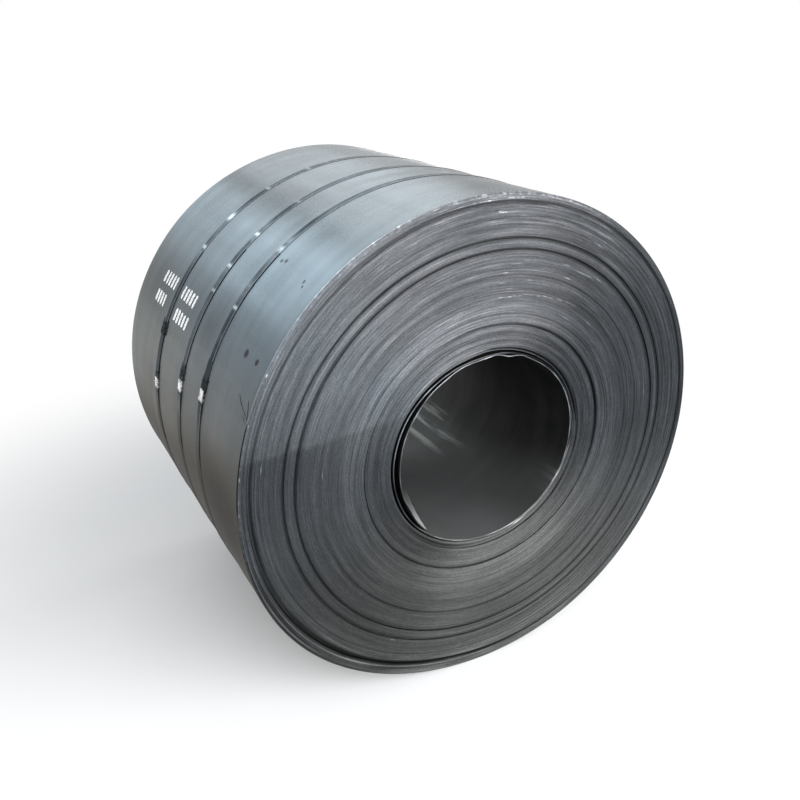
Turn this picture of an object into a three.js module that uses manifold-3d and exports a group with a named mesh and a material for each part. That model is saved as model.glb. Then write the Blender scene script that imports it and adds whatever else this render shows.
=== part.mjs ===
// A coil of hot-rolled steel strip lying on its side, eye horizontal, held by three
// steel straps. Millimetres, +Z up. The coil's axis runs along Y, its front end faces -Y,
// and the floor it lies on is the plane z = 0.

import * as THREE from "three";
import { mergeVertices } from "three/addons/utils/BufferGeometryUtils.js";
import Module from "manifold-3d";

const wasm = await Module();
wasm.setup();

// ---- Driving dimensions -------------------------------------------------------------

const OUTER_DIAMETER = 1490;
const BORE_DIAMETER = 610;
const STRIP_WIDTH = 1165;
const STRIP_THICKNESS = 3;

// A lying coil sags: every turn spreads sideways and drops at the crown by this much.
const SAG = 7.5;

// The outer turns are slack at the lower left of the front end. They bulge there by this
// much, less and less round the coil and towards its rear end.
const SLACK = 16;
const SLACK_ANGLE = 219;
const SLACK_REACH = 52;
const SLACK_TURNS = 12;

// Angles are seen from the front end: 0 right, 90 up, 180 left, 270 at the floor.
const FACETS = 120;
const OUTER_TAIL_ANGLE = 291.5;
const INNER_TAIL_ANGLE = 225;

// The turns wandered along the mandrel while the coil was wound, so groups of them stand
// out of one end and are set back by as much at the other. Each group reaches up to a
// share of the wall, counted from the bore, and is shifted towards the front end.
const TURN_GROUPS = [
  { upTo: 0.035, shift: -13 },
  { upTo: 0.171, shift: -6 },
  { upTo: 0.185, shift: -11 },
  { upTo: 0.648, shift: 5 },
  { upTo: 0.665, shift: -4 },
  { upTo: 0.722, shift: 3 },
  { upTo: 0.74, shift: -4 },
  { upTo: 0.927, shift: 1 },
  { upTo: 0.945, shift: -7 },
  { upTo: 1, shift: -1 },
];

// The innermost turns have sprung off the wall of the bore. Each station gives the angle
// travelled clockwise from the strip's free end and the gap outside the strip there.
const SPRUNG_TURN_STATIONS = [
  { travel: 0, gap: 14 },
  { travel: 25, gap: 26 },
  { travel: 50, gap: 29 },
  { travel: 75, gap: 26.5 },
  { travel: 100, gap: 20 },
  { travel: 120, gap: 13.5 },
  { travel: 145, gap: 9.5 },
  { travel: 165, gap: 7 },
  { travel: 190, gap: 5 },
  { travel: 225, gap: 6.8 },
  { travel: 250, gap: 5.2 },
  { travel: 285, gap: 3.2 },
  { travel: 320, gap: 4.8 },
  { travel: 360, gap: 6.5 },
  { travel: 400, gap: 8 },
  { travel: 440, gap: 9 },
  { travel: 485, gap: 8.6 },
  { travel: 505, gap: 3.2 },
  { travel: 520, gap: 1.5 },
  { travel: 550, gap: 1 },
  { travel: 620, gap: 1 },
];
const SPRUNG_TURN_STEP = 6;
const SPRUNG_TURN_ROOT = 660;

// Steel straps round the belly, each closed by a crimped seal over its lapped ends.
const STRAP_WIDTH = 32;
const STRAP_THICKNESS = 0.9;
const STRAP_LIFT = 0.45;
const STRAPS = [
  { name: "front", fromFront: 339, sealAngle: 165 },
  { name: "middle", fromFront: 536, sealAngle: 168 },
  { name: "rear", fromFront: 793, sealAngle: 174 },
];
const LAP_BELOW_SEAL = 3;
const LAP_ABOVE_SEAL = 12;
const SEAL_LENGTH = 36;
const SEAL_SHEET = 1;
const SEAL_CRIMPS = 2;
const SEAL_CRIMP_DEPTH = 0.5;
const SEAL_CRIMP_WIDTH = 5;
const SEAL_PLAY = 0.9;
const CLEARANCE = 0.3;

// ---- Values worked out from them ----------------------------------------------------

const outerRadius = OUTER_DIAMETER / 2;
const boreRadius = BORE_DIAMETER / 2;
const wall = outerRadius - boreRadius;
const frontEnd = -STRIP_WIDTH / 2;
const facetAngle = 360 / FACETS;
const lapRise = STRAP_THICKNESS + CLEARANCE;
const sealRise = SEAL_SHEET + CLEARANCE;

const facetFlat = Math.cos(THREE.MathUtils.degToRad(facetAngle / 2));

// ---- Helpers ------------------------------------------------------------------------

function polar(radius, angle) {
  const a = THREE.MathUtils.degToRad(angle);
  return new THREE.Vector2(radius * Math.cos(a), radius * Math.sin(a));
}

// Corners of the faceted turns lie half a facet either side of straight down.
function cornerNear(angle) {
  const first = 270 + facetAngle / 2;
  return first + Math.round((angle - first) / facetAngle) * facetAngle;
}

function facetMiddleNear(angle) {
  return 270 + Math.round((angle - 270) / facetAngle) * facetAngle;
}

// A prism along the coil's axis, from a section drawn as seen from the front end.
function prism(shape, from, to) {
  const geometry = new THREE.ExtrudeGeometry(shape, { depth: to - from, bevelEnabled: false });
  return geometry.rotateX(Math.PI / 2).translate(0, to, 0);
}

function toManifold(geometry) {
  const bare = geometry.clone();
  bare.deleteAttribute("normal");
  bare.deleteAttribute("uv");
  const merged = mergeVertices(bare, 1e-4);
  const vertProperties = new Float32Array(merged.attributes.position.array);
  const triVerts = new Uint32Array(merged.index.array);
  return new wasm.Manifold(new wasm.Mesh({ numProp: 3, vertProperties, triVerts }));
}

function toGeometry(solid) {
  const mesh = solid.getMesh();
  const geometry = new THREE.BufferGeometry();
  geometry.setAttribute("position", new THREE.BufferAttribute(mesh.vertProperties, 3));
  geometry.setIndex(new THREE.BufferAttribute(mesh.triVerts, 1));
  return geometry;
}

// How far the slack of the outer turns carries a point out along its own radius.
function slackAt(radius, angle, y) {
  const { smoothstep, clamp } = THREE.MathUtils;
  const offAngle = Math.abs(((((angle - SLACK_ANGLE) % 360) + 540) % 360) - 180);
  const round = 1 - smoothstep(offAngle, 0, SLACK_REACH);
  const along = clamp(0.5 - y / STRIP_WIDTH, 0, 1);
  const firstSlackTurn = outerRadius - SLACK_TURNS * STRIP_THICKNESS;
  const across = smoothstep(radius, firstSlackTurn, outerRadius - STRIP_THICKNESS);
  return SLACK * round * along * across;
}

// Lets a round form sag: a point moves along its own radius by SAG cos(2 angle), and by
// the slack of the outer turns.
function sagged(geometry) {
  const position = geometry.attributes.position;
  for (let i = 0; i < position.count; i += 1) {
    const x = position.getX(i);
    const z = position.getZ(i);
    const radius = Math.hypot(x, z);
    const angle = THREE.MathUtils.radToDeg(Math.atan2(z, x));
    const sag = (SAG * (x * x - z * z)) / radius ** 2;
    const scale = 1 + (sag + slackAt(radius, angle, position.getY(i))) / radius;
    position.setX(i, x * scale);
    position.setZ(i, z * scale);
  }
  geometry.computeVertexNormals();
  return geometry;
}

function steelMesh(name, geometry, material) {
  const mesh = new THREE.Mesh(geometry, material);
  mesh.name = name;
  return mesh;
}

// ---- The coil -----------------------------------------------------------------------

// The outermost turn ends in a step, so the outside is a spiral one strip deep.
function outerTurnRadius(angle) {
  const tail = cornerNear(OUTER_TAIL_ANGLE);
  const travelled = ((((angle - tail) % 360) + 360) % 360) / 360;
  return outerRadius - STRIP_THICKNESS * travelled;
}

// Half-section of the wound turns, drawn out and back: radius against distance along the axis.
function woundSection() {
  const front = [];
  const back = [];
  let inner = boreRadius;
  for (const group of TURN_GROUPS) {
    const isOutermost = group.upTo === 1;
    const outer = boreRadius + wall * group.upTo + (isOutermost ? STRIP_THICKNESS : 0);
    front.push(new THREE.Vector2(inner, frontEnd - group.shift));
    front.push(new THREE.Vector2(outer, frontEnd - group.shift));
    back.push(new THREE.Vector2(inner, frontEnd + STRIP_WIDTH - group.shift));
    back.push(new THREE.Vector2(outer, frontEnd + STRIP_WIDTH - group.shift));
    inner = outer;
  }
  return [...front, ...back.reverse(), front[0].clone()];
}

function turnedCoil() {
  const half = THREE.MathUtils.degToRad(facetAngle / 2);
  return toManifold(new THREE.LatheGeometry(woundSection(), FACETS, half));
}

function outsideOutline() {
  const tail = cornerNear(OUTER_TAIL_ANGLE);
  const corners = [polar(outerRadius, tail)];
  for (let i = 1; i < FACETS; i += 1) {
    const angle = tail + i * facetAngle;
    corners.push(polar(outerTurnRadius(angle), angle));
  }
  corners.push(polar(outerRadius - STRIP_THICKNESS, tail));
  return toManifold(prism(new THREE.Shape(corners), -STRIP_WIDTH, STRIP_WIDTH));
}

// The gap outside the sprung strip, eased between its stations and closed at its root.
function sprungGap(travel) {
  const root = { travel: SPRUNG_TURN_ROOT, gap: -STRIP_THICKNESS - CLEARANCE };
  const stations = [...SPRUNG_TURN_STATIONS, root];
  let next = 1;
  while (next < stations.length - 1 && stations[next].travel < travel) {
    next += 1;
  }
  const a = stations[next - 1];
  const b = stations[next];
  const share = (travel - a.travel) / (b.travel - a.travel);
  return THREE.MathUtils.lerp(a.gap, b.gap, THREE.MathUtils.smoothstep(share, 0, 1));
}

function sprungTurns() {
  const outside = [];
  const inside = [];
  for (let travel = 0; travel <= SPRUNG_TURN_ROOT; travel += SPRUNG_TURN_STEP) {
    const angle = INNER_TAIL_ANGLE - travel;
    const radius = boreRadius - sprungGap(travel);
    outside.push(polar(radius, angle));
    inside.push(polar(radius - STRIP_THICKNESS, angle));
  }
  const shape = new THREE.Shape([...inside, ...outside.reverse()]);
  const shift = TURN_GROUPS[0].shift;
  return toManifold(prism(shape, frontEnd - shift, frontEnd + STRIP_WIDTH - shift));
}

function makeCoil() {
  const steel = new THREE.MeshStandardMaterial({ color: 0x5c6468, roughness: 0.45, metalness: 0.85 });
  const solid = turnedCoil().intersect(outsideOutline()).add(sprungTurns());
  return steelMesh("coil", sagged(toGeometry(solid)), steel);
}

// ---- Straps and seals ---------------------------------------------------------------

// How far the strap's underside stands off the outer turn, by angle travelled from its
// under end: over the seal's sheet near the seal, and over its own under end past a turn.
function strapStandoff(travel) {
  const sealAt = facetAngle * (LAP_BELOW_SEAL + 0.5);
  const reach = facetAngle * 2;
  const nearSeal = Math.min(Math.abs(travel - sealAt), Math.abs(travel - 360 - sealAt));
  const overSheet = sealRise * (1 - THREE.MathUtils.smoothstep(nearSeal, facetAngle, reach));
  const overLap = lapRise * THREE.MathUtils.smoothstep(travel, 360 - reach, 360 - facetAngle);
  return STRAP_LIFT + overSheet + overLap;
}

function makeStrap(strap, material) {
  const start = facetMiddleNear(strap.sealAngle) + facetAngle * (LAP_BELOW_SEAL + 0.5);
  const steps = FACETS + LAP_BELOW_SEAL + LAP_ABOVE_SEAL;
  const outside = [];
  const inside = [];
  for (let i = 0; i <= steps; i += 1) {
    const travel = i * facetAngle;
    const radius = outerTurnRadius(start - travel) + strapStandoff(travel);
    inside.push(polar(radius, start - travel));
    outside.push(polar(radius + STRAP_THICKNESS, start - travel));
  }
  const shape = new THREE.Shape([...inside, ...outside.reverse()]);
  const middle = frontEnd + strap.fromFront;
  const geometry = prism(shape, middle - STRAP_WIDTH / 2, middle + STRAP_WIDTH / 2);
  return steelMesh(`strap_${strap.name}`, sagged(geometry), material);
}

function roundedRectangle(Path, width, bottom, top, corner) {
  const path = new Path();
  const half = width / 2;
  path.moveTo(-half + corner, bottom);
  path.lineTo(half - corner, bottom);
  path.quadraticCurveTo(half, bottom, half, bottom + corner);
  path.lineTo(half, top - corner);
  path.quadraticCurveTo(half, top, half - corner, top);
  path.lineTo(-half + corner, top);
  path.quadraticCurveTo(-half, top, -half, top - corner);
  path.lineTo(-half, bottom + corner);
  path.quadraticCurveTo(-half, bottom, -half + corner, bottom);
  return path;
}

// A folded sleeve round both layers of the strap, drawn across the strap and standing on
// the outer turn, with grooves pressed across its top.
function makeSeal(strap, material) {
  const holeBottom = CLEARANCE + SEAL_SHEET;
  const holeTop = holeBottom + CLEARANCE + 2 * STRAP_THICKNESS + SEAL_PLAY;
  const holeWidth = STRAP_WIDTH + 2 * CLEARANCE;
  const top = holeTop + SEAL_SHEET;
  const section = roundedRectangle(THREE.Shape, holeWidth + 2 * SEAL_SHEET, CLEARANCE, top, SEAL_SHEET);
  section.holes.push(roundedRectangle(THREE.Path, holeWidth, holeBottom, holeTop, CLEARANCE));
  const options = { depth: SEAL_LENGTH, bevelEnabled: false, curveSegments: 3 };
  let sleeve = toManifold(new THREE.ExtrudeGeometry(section, options).translate(0, 0, -SEAL_LENGTH / 2));
  for (let i = 0; i < SEAL_CRIMPS; i += 1) {
    const along = (SEAL_LENGTH * (i + 1)) / (SEAL_CRIMPS + 1) - SEAL_LENGTH / 2;
    const groove = new THREE.CylinderGeometry(SEAL_CRIMP_DEPTH, SEAL_CRIMP_DEPTH, 2 * STRAP_WIDTH, 6);
    groove.rotateZ(Math.PI / 2).scale(1, 1, SEAL_CRIMP_WIDTH / SEAL_CRIMP_DEPTH / 2).translate(0, top, along);
    sleeve = sleeve.subtract(toManifold(groove));
  }
  const angle = facetMiddleNear(strap.sealAngle);
  const tilt = THREE.MathUtils.degToRad(angle);
  const flat = outerTurnRadius(angle) * facetFlat;
  // Across the strap becomes the coil's axis, and up off the strap becomes the radius.
  const radial = new THREE.Vector3(Math.cos(tilt), 0, Math.sin(tilt));
  const axial = new THREE.Vector3(0, 1, 0);
  const along = new THREE.Vector3().crossVectors(axial, radial);
  const place = new THREE.Matrix4().makeBasis(axial, radial, along);
  place.setPosition(radial.x * flat, frontEnd + strap.fromFront, radial.z * flat);
  const geometry = toGeometry(sleeve).applyMatrix4(place);
  return steelMesh(`seal_${strap.name}`, sagged(geometry), material);
}

function makeBands() {
  const strapSteel = new THREE.MeshStandardMaterial({ color: 0x3c4044, roughness: 0.35, metalness: 0.9 });
  const sealSteel = new THREE.MeshStandardMaterial({ color: 0xb9bcbc, roughness: 0.4, metalness: 0.8 });
  const bands = new THREE.Group();
  for (const strap of STRAPS) {
    bands.add(makeStrap(strap, strapSteel));
    bands.add(makeSeal(strap, sealSteel));
  }
  return bands;
}

const steelCoil = new THREE.Group();
steelCoil.add(makeCoil());
steelCoil.add(makeBands());

// The coil rests on its straps, with the origin on the floor below its middle.
const extent = new THREE.Box3().setFromObject(steelCoil);
const middle = extent.getCenter(new THREE.Vector3());
steelCoil.position.set(-middle.x, -middle.y, -extent.min.z);

export default steelCoil;
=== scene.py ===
"""The looks of a coil of hot-rolled steel strip on its side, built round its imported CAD
frame. Metres. The coil's axis runs along Y and its front end faces -Y. Places on it are
given as radius, angle seen from the front end (0 right, 90 up, 180 left, 270 at the
floor) and depth behind the nominal plane of the front end."""

import math

import bmesh
import bpy
import numpy as np
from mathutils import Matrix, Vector


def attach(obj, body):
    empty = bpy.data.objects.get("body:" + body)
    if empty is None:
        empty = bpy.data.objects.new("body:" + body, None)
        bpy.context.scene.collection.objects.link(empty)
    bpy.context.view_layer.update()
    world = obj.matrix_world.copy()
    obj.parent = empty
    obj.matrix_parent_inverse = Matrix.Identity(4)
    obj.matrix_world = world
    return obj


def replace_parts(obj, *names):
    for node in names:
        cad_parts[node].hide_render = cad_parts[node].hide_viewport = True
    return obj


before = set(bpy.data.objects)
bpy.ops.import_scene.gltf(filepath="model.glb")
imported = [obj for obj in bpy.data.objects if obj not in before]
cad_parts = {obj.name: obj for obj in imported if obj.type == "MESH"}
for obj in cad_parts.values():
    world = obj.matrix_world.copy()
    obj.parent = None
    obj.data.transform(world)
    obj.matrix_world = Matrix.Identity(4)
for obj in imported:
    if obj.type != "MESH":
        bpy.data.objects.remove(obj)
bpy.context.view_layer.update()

# ---- Dimensions, as in the CAD ------------------------------------------------------

AXIS_X, AXIS_Z = 0.00067, 0.73587
FRONT_Y = -0.5865
STRIP_WIDTH = 1.165
OUTER_RADIUS = 0.745
BORE_RADIUS = 0.305
STRIP = 0.003
SAG = 0.0075
OUTER_TAIL_ANGLE = 291.5
INNER_TAIL_ANGLE = 225.0
SLACK, SLACK_ANGLE, SLACK_REACH, SLACK_TURNS = 0.016, 219.0, 52.0, 12
TURNS = int((OUTER_RADIUS - BORE_RADIUS) / STRIP)
MIDDLE_DEPTH = STRIP_WIDTH / 2
MM = 0.001
PROUD_LIMIT, SUNK_LIMIT = 0.0049, -0.0129

# ---- Helpers ------------------------------------------------------------------------


def smoothstep(value, low, high):
    """0 at low and 1 at high, smoothly eased between them."""
    share = np.clip((np.asarray(value, float) - low) / (high - low), 0, 1)
    return share * share * (3 - 2 * share)


def near(value, middle, reach):
    """1 at the middle value, falling smoothly away on either side."""
    return np.exp(-(((value - middle) / reach) ** 2))


def angle_off(angle, middle):
    """How far an angle lies from a middle one, between -180 and 180 degrees."""
    return (angle - middle + 180) % 360 - 180


def near_angle(angle, middle, reach):
    """1 at the middle angle, falling smoothly away on either side."""
    return near(angle_off(angle, middle), 0, reach)


def plateau(value, rise_from, rise_to, fall_from, fall_to):
    """1 from rise_to to fall_from, easing down to 0 on either side."""
    return smoothstep(value, rise_from, rise_to) * (1 - smoothstep(value, fall_from, fall_to))


def wave_noise(seed, count, low, high):
    """A smooth random curve of one variable, made of sines: frequencies, phases, weights."""
    rng = np.random.default_rng(seed)
    frequency = np.exp(rng.uniform(math.log(low), math.log(high), count))
    phase = rng.uniform(0, 2 * math.pi, count)
    weight = rng.normal(0, 1, count)
    weight /= np.sqrt((weight**2).sum() / 2)

    def curve(u):
        u = np.asarray(u, float)
        total = np.zeros_like(u)
        for f, p, w in zip(frequency, phase, weight):
            total += w * np.sin(2 * math.pi * f * u + p)
        return total

    return curve


def slack_at(radius, angle, depth):
    """How far the slack of the outer turns carries a point out."""
    around = 1 - smoothstep(np.abs(angle_off(angle, SLACK_ANGLE)), 0, SLACK_REACH)
    along = np.clip(1 - depth / STRIP_WIDTH, 0, 1)
    first = OUTER_RADIUS - SLACK_TURNS * STRIP
    return SLACK * around * along * smoothstep(radius, first, OUTER_RADIUS - STRIP)


# Rings of turns that aren't quite round: share of the outer radius, and how far the ring
# is carried out by cos, sin, cos 2 and sin 2 of the angle, in millimetres. Apart from the
# round first and last rings, these come from a least-squares fit to grooves in the photo.
RING_WANDER = np.array(
    [
        (0.43, 0.0, 0.0, 0.0, 0.0),
        (0.517, -3.0, 4.2, 1.2, 1.3),
        (0.709, 3.2, -3.4, 0.7, 2.3),
        (0.797, 3.8, 1.8, -0.2, 2.1),
        (0.843, 3.1, 0.7, 1.7, 2.4),
        (0.964, 2.9, 3.2, 1.2, 1.7),
        (0.993, 0.0, 0.0, 0.0, 0.0),
    ]
)


def wander_at(radius, angle):
    """How far a point of a ring that isn't quite round is carried out."""
    a = np.radians(angle)
    share = radius / OUTER_RADIUS
    c1, s1, c2, s2 = (np.interp(share, RING_WANDER[:, 0], RING_WANDER[:, i]) for i in range(1, 5))
    out = c1 * np.cos(a) + s1 * np.sin(a) + c2 * np.cos(2 * a) + s2 * np.sin(2 * a)
    dent = plateau(share, 0.88, 0.955, 0.965, 0.993)
    return MM * (out - 8.0 * dent * near_angle(angle, 257, 26))


def place(radius, angle, depth, wander=False):
    """World points of places on the sagging coil."""
    radius, angle, depth = np.broadcast_arrays(
        np.asarray(radius, float), np.asarray(angle, float), np.asarray(depth, float)
    )
    a = np.radians(angle)
    carried = radius + SAG * np.cos(2 * a) + slack_at(radius, angle, depth)
    if wander:
        carried = carried + wander_at(radius, angle)
    x = AXIS_X + carried * np.cos(a)
    z = AXIS_Z + carried * np.sin(a)
    return np.stack([x, FRONT_Y + depth, z], axis=-1)


def mesh_piece(name, vertices, faces, material, smooth=False, tone=None):
    """A visible piece. tone is a value at each vertex, for the material's Attribute node."""
    mesh = bpy.data.meshes.new(name)
    mesh.from_pydata(np.asarray(vertices, float).tolist(), [], faces)
    mesh.validate(clean_customdata=False)
    if tone is not None:
        mesh.attributes.new("tone", "FLOAT", "POINT").data.foreach_set("value", tone)
    mesh.materials.append(material)
    mesh.polygons.foreach_set("use_smooth", [smooth] * len(mesh.polygons))
    mesh.update()
    piece = bpy.data.objects.new(name, mesh)
    bpy.context.scene.collection.objects.link(piece)
    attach(piece, "root")
    return piece


def face_outward(piece):
    """Makes a closed piece's faces point out."""
    bm = bmesh.new()
    bm.from_mesh(piece.data)
    bmesh.ops.recalc_face_normals(bm, faces=bm.faces)
    bm.to_mesh(piece.data)
    bm.free()


def swept_band(sections, closed_ends=True):
    """Faces of a band whose cross-sections are closed loops of the same length. sections
    is stations x loop x 3. Returns vertices and faces."""
    stations, loop = sections.shape[:2]
    vertices = sections.reshape(-1, 3)
    faces = []
    for i in range(stations - 1):
        for j in range(loop):
            k = (j + 1) % loop
            faces.append((i * loop + j, i * loop + k, (i + 1) * loop + k, (i + 1) * loop + j))
    if closed_ends:
        faces.append(tuple(range(loop))[::-1])
        last = (stations - 1) * loop
        faces.append(tuple(last + j for j in range(loop)))
    return vertices, faces


def bare_edges(piece, sides, loop, stations):
    """Gives both ends of a swept band, and these sides of its loop, the look of cut edges."""
    piece.data.materials.append(EDGE_STEEL)
    for polygon in piece.data.polygons:
        station, side = divmod(polygon.index, loop)
        if station >= stations - 1 or side in sides:
            polygon.material_index = 1
            polygon.use_smooth = False


# ---- Node helpers -------------------------------------------------------------------


class Nodes:
    """Short hand for building one material's node tree."""

    def __init__(self, name):
        self.material = bpy.data.materials.new(name)
        self.material.use_nodes = True
        self.tree = self.material.node_tree
        self.shader = self.tree.nodes["Principled BSDF"]

    def add(self, kind, **values):
        node = self.tree.nodes.new(kind)
        for key, value in values.items():
            setattr(node, key, value)
        return node

    def link(self, output, target):
        self.tree.links.new(output, target)

    def feed(self, node, index, value):
        socket = node.inputs[index]
        if isinstance(value, bpy.types.NodeSocket):
            self.link(value, socket)
        else:
            socket.default_value = value

    def math(self, operation, a, b=0.0, c=0.0, clamp=False):
        node = self.add("ShaderNodeMath", operation=operation, use_clamp=clamp)
        for i, value in enumerate((a, b, c)):
            self.feed(node, i, value)
        return node.outputs[0]

    def times(self, a, b):
        return self.math("MULTIPLY", a, b)

    def times_plus(self, a, b, c):
        return self.math("MULTIPLY_ADD", a, b, c)

    def vector(self, operation, a, b=(0, 0, 0)):
        node = self.add("ShaderNodeVectorMath", operation=operation)
        self.feed(node, 0, a)
        self.feed(node, 1, b)
        return node.outputs[1 if operation in ("LENGTH", "DISTANCE", "DOT_PRODUCT") else 0]

    def combine(self, x, y, z):
        node = self.add("ShaderNodeCombineXYZ")
        for i, value in enumerate((x, y, z)):
            self.feed(node, i, value)
        return node.outputs[0]

    def noise(self, vector, scale, detail=3.0, roughness=0.5):
        node = self.add("ShaderNodeTexNoise")
        self.feed(node, "Vector", vector)
        self.feed(node, "Scale", scale)
        self.feed(node, "Detail", detail)
        self.feed(node, "Roughness", roughness)
        return node.outputs[0]

    def ramp(self, value, low, high, to_low=0.0, to_high=1.0):
        node = self.add("ShaderNodeMapRange", interpolation_type="SMOOTHSTEP")
        for i, v in enumerate((value, low, high, to_low, to_high)):
            self.feed(node, i, v)
        return node.outputs[0]

    def mix(self, factor, a, b, blend="MIX"):
        node = self.add("ShaderNodeMix", data_type="RGBA", blend_type=blend)
        self.feed(node, 0, factor)
        for i, value in ((6, a), (7, b)):
            if isinstance(value, tuple) and len(value) == 3:
                value = (*value, 1.0)
            self.feed(node, i, value)
        return node.outputs[2]

    def bump(self, height, strength, distance, normal=None):
        node = self.add("ShaderNodeBump")
        self.feed(node, "Strength", strength)
        self.feed(node, "Distance", distance)
        self.feed(node, "Height", height)
        if normal is not None:
            self.feed(node, "Normal", normal)
        return node.outputs[0]

    def set(self, **values):
        for name, value in values.items():
            self.feed(self.shader, name.replace("_", " "), value)

    def tone(self):
        """The tone held at the mesh's vertices, 0 where a mesh has none."""
        return self.add("ShaderNodeAttribute", attribute_name="tone").outputs["Fac"]

    def scale(self, colour, factor):
        node = self.add("ShaderNodeVectorMath", operation="SCALE")
        self.feed(node, 0, colour)
        self.feed(node, "Scale", factor)
        return node.outputs[0]

    def position(self):
        return self.add("ShaderNodeTexCoord").outputs["Object"]

    def split(self, vector):
        """The x, y and z of a vector."""
        node = self.add("ShaderNodeSeparateXYZ")
        self.link(vector, node.inputs[0])
        return node.outputs[:3]

    def from_axis(self):
        """The place in object space, counted from the coil's axis."""
        return self.vector("SUBTRACT", self.position(), (AXIS_X, 0, AXIS_Z))

    def stretched_noise(self, vector, stretch, *settings):
        return self.noise(self.vector("MULTIPLY", vector, stretch), *settings)

    def tinted(self, colour, tint):
        return self.mix(1.0, colour, tint, "MULTIPLY")

    def with_tone(self, colour):
        """A colour made lighter or darker by the tone held at the vertices."""
        return self.scale(colour, self.math("EXPONENT", self.tone()))

    def grain_round_axis(self, amount):
        """Anisotropic gloss of metal whose fine grooves run round the coil's axis."""
        tangent = self.add("ShaderNodeTangent", direction_type="RADIAL", axis="Y")
        self.link(tangent.outputs[0], self.shader.inputs["Tangent"])
        self.set(Anisotropic=amount, Anisotropic_Rotation=0.25)


# ---- Materials ----------------------------------------------------------------------

WHITE = (1.0, 1.0, 1.0)


def edge_steel():
    """The edges of the turns, seen as fine rings on both ends of the coil."""
    n = Nodes("edge_steel")
    centred = n.from_axis()
    flat = n.vector("MULTIPLY", centred, (1, 0, 1))
    radius = n.vector("LENGTH", flat)
    right, _, up = n.split(n.vector("NORMALIZE", flat))

    def ring_noise(across, around, detail, roughness):
        """Noise that is fine across the turns and long round the coil."""
        place_on_ring = n.combine(n.times(right, around), n.times(radius, across), n.times(up, around))
        return n.noise(place_on_ring, 1.0, detail, roughness)

    fine = ring_noise(420.0, 2.4, 3.0, 0.6)
    broad = ring_noise(60.0, 1.2, 4.0, 0.6)
    patches = n.noise(centred, 5.0, 6.0, 0.6)
    speck = n.noise(centred, 260.0, 3.0, 0.6)
    mixed = n.times_plus(fine, 0.5, n.times(broad, 0.5))
    mixed = n.times_plus(patches, 0.3, n.math("SUBTRACT", mixed, 0.15))
    mixed = n.times_plus(speck, 0.3, n.math("SUBTRACT", mixed, 0.15))
    colour = n.mix(n.ramp(mixed, 0.3, 0.7), (0.053, 0.058, 0.063), (0.092, 0.097, 0.103))
    # Warmer low down and bluer higher up, a painted reflection of warm light from below and cooler light
    # from above, and a little redder at the crown.
    colour = n.tinted(colour, n.mix(n.ramp(up, -0.9, 0.1), (1.04, 1.0, 0.92), (0.96, 1.0, 1.03)))
    colour = n.tinted(colour, n.mix(n.ramp(up, 0.55, 0.95), WHITE, (1.02, 0.95, 0.92)))
    scratch = ring_noise(330.0, 26.0, 3.0, 0.65)
    pits = n.noise(centred, 300.0, 2.0, 0.6)
    strewn = n.times_plus(scratch, 0.9, n.times_plus(pits, 1.1, n.tone()))
    colour = n.scale(colour, n.math("EXPONENT", n.math("SUBTRACT", strewn, 1.0)))
    normal = n.bump(fine, 0.35, 0.0006)
    normal = n.bump(speck, 0.25, 0.0004, normal)
    n.set(Base_Color=colour, Metallic=0.95, Roughness=n.times_plus(fine, 0.12, 0.42), Normal=normal)
    n.grain_round_axis(0.9)
    return n.material


# Dark spots on the belly: angle, depth behind the front end and radius.
SPOTS = [
    (150.8, 0.148, 0.014), (150.8, 0.072, 0.011), (131.2, 0.265, 0.009), (131.6, 0.285, 0.007),
    (133.0, 0.102, 0.008), (134.0, 0.092, 0.006),
]  # fmt: skip


def belly_point(angle, depth):
    """A place on the belly in the frame of centred texture coordinates."""
    a = math.radians(angle)
    radius = OUTER_RADIUS + SAG * math.cos(2 * a)
    return (radius * math.cos(a), FRONT_Y + depth, radius * math.sin(a))


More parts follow.
